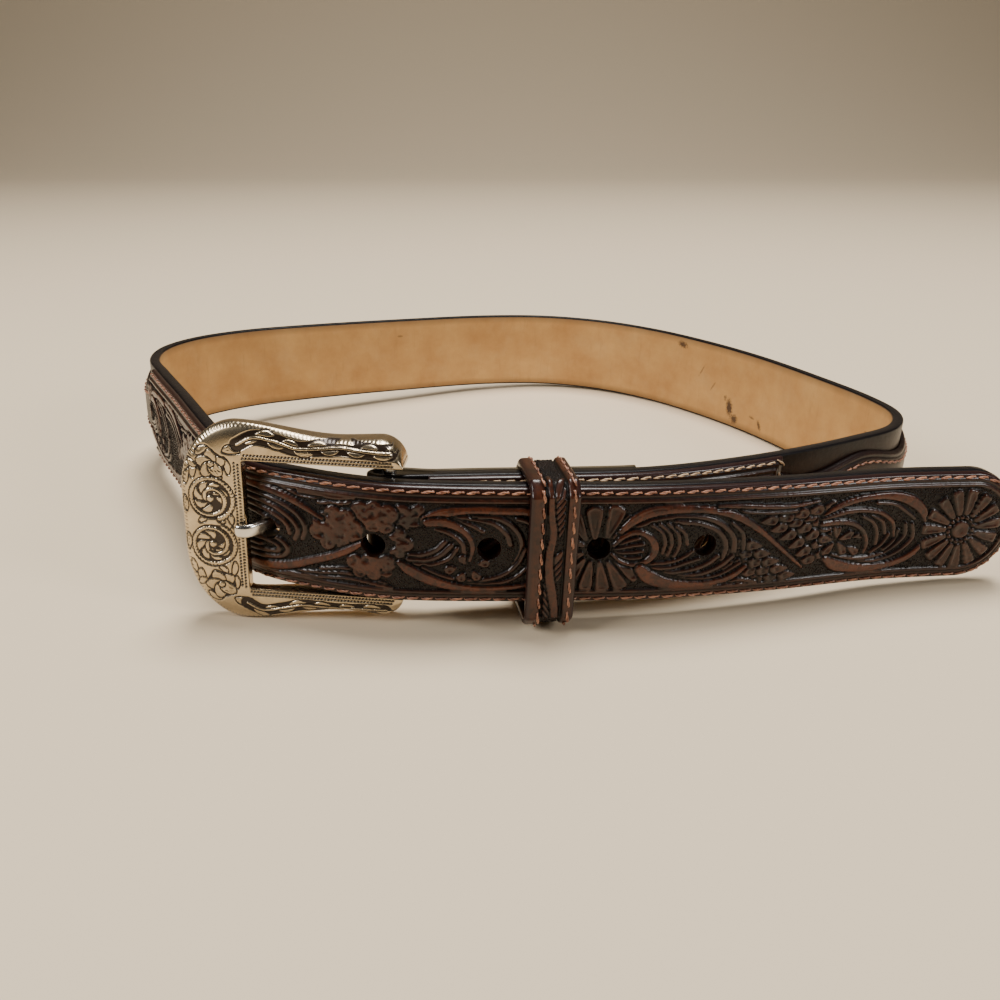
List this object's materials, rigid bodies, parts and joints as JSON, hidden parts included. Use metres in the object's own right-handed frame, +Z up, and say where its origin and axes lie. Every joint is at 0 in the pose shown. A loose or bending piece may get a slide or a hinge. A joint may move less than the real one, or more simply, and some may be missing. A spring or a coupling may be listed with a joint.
{
  "type": "tooled western belt",
  "caption": "Leather belt with flower-tooled ends and a scalloped overlay, buckled into a loop through an engraved frame buckle and a keeper.",
  "frame": {"origin": "centre of the bounding box at the floor the belt stands on", "axes": "+X along the strap's front run from the buckle to the tip, +Y from the front of the loop to its back, +Z up"},
  "size_m": [0.253, 0.212, 0.0504],
  "materials": {
    "strap_leather": "semi-gloss dark brown with burnished edges",
    "lining_leather": "matte tan",
    "tooled_leather": "semi-gloss antiqued brown",
    "overlay_leather": "semi-gloss brown",
    "antique_silver": "satin with dark engraved lines",
    "polished_silver": "polished"
  },
  "bodies": {
    "root": {"strap_outer": "strap_leather", "strap_lining": "lining_leather", "tip_billet": "tooled_leather", "buckle_billet": "tooled_leather", "scalloped_overlay": "overlay_leather", "keeper": "tooled_leather", "buckle_frame": "antique_silver", "buckle_bar": "polished_silver", "prong": "polished_silver"}
  },
  "joints": []
}
